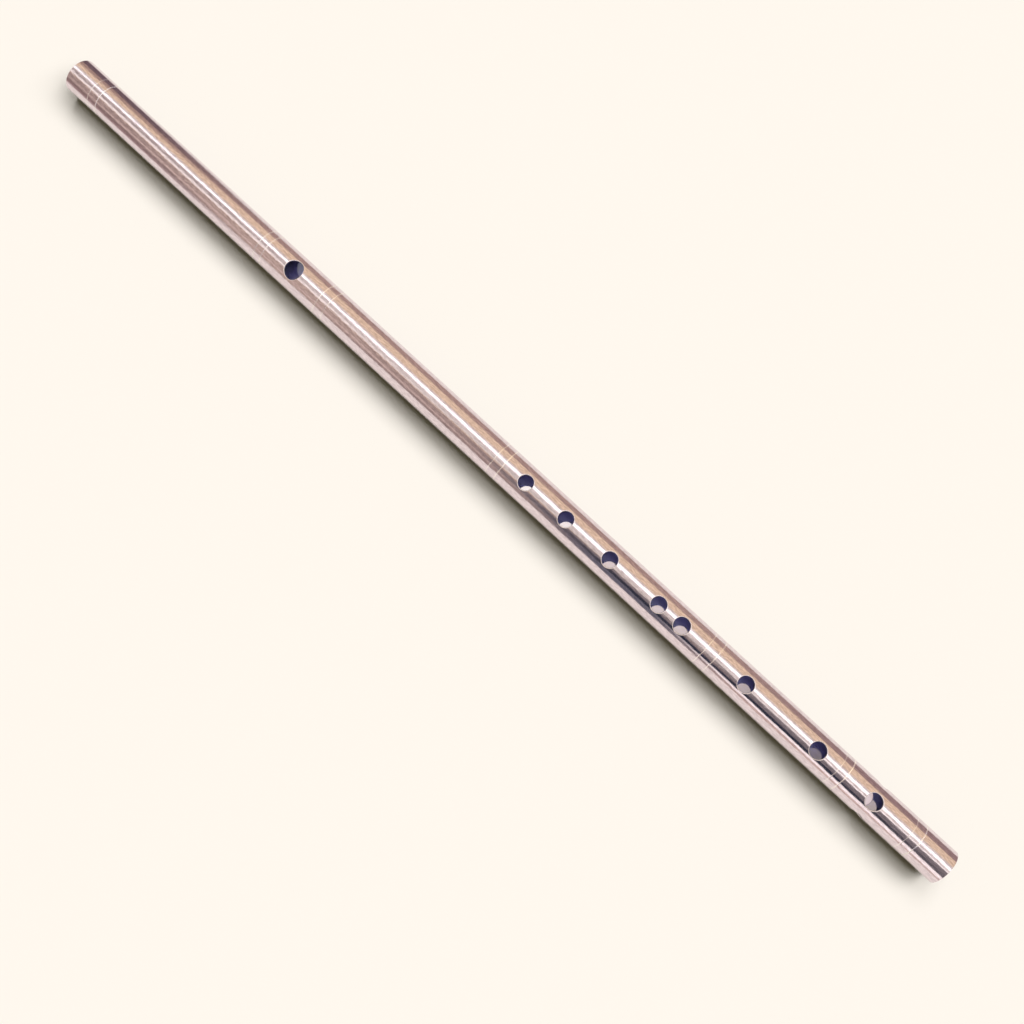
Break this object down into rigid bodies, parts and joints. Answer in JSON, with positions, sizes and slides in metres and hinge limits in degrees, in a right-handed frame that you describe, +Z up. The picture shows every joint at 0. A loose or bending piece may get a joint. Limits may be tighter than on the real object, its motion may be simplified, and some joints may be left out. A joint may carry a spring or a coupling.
{
  "type": "side-blown flute",
  "caption": "Keyless side-blown flute: a polished steel tube with fine turned rings, a row of finger holes, a cross-drilled vent at the foot and a sliding stopper inside the head.",
  "frame": {"origin": "under the middle of the tube, on the surface that it lies on", "axes": "+X along the tube from the head to the foot, +Z up through the embouchure and the finger holes, +Y to the left of the row seen from the head"},
  "size_m": [0.588, 0.019, 0.019],
  "materials": {
    "steel": "polished drawn stainless steel with fine lengthwise lines",
    "cork": "natural cork, cut and sanded"
  },
  "bodies": {
    "tube": {"flute_tube": "steel"},
    "stopper": {"head_stopper": "cork"}
  },
  "joints": [
    {"name": "stopper_slide", "type": "slide", "parent": "tube", "child": "stopper", "axis": [1, 0, 0], "range_m": [-0.01, 0.008]}
  ]
}
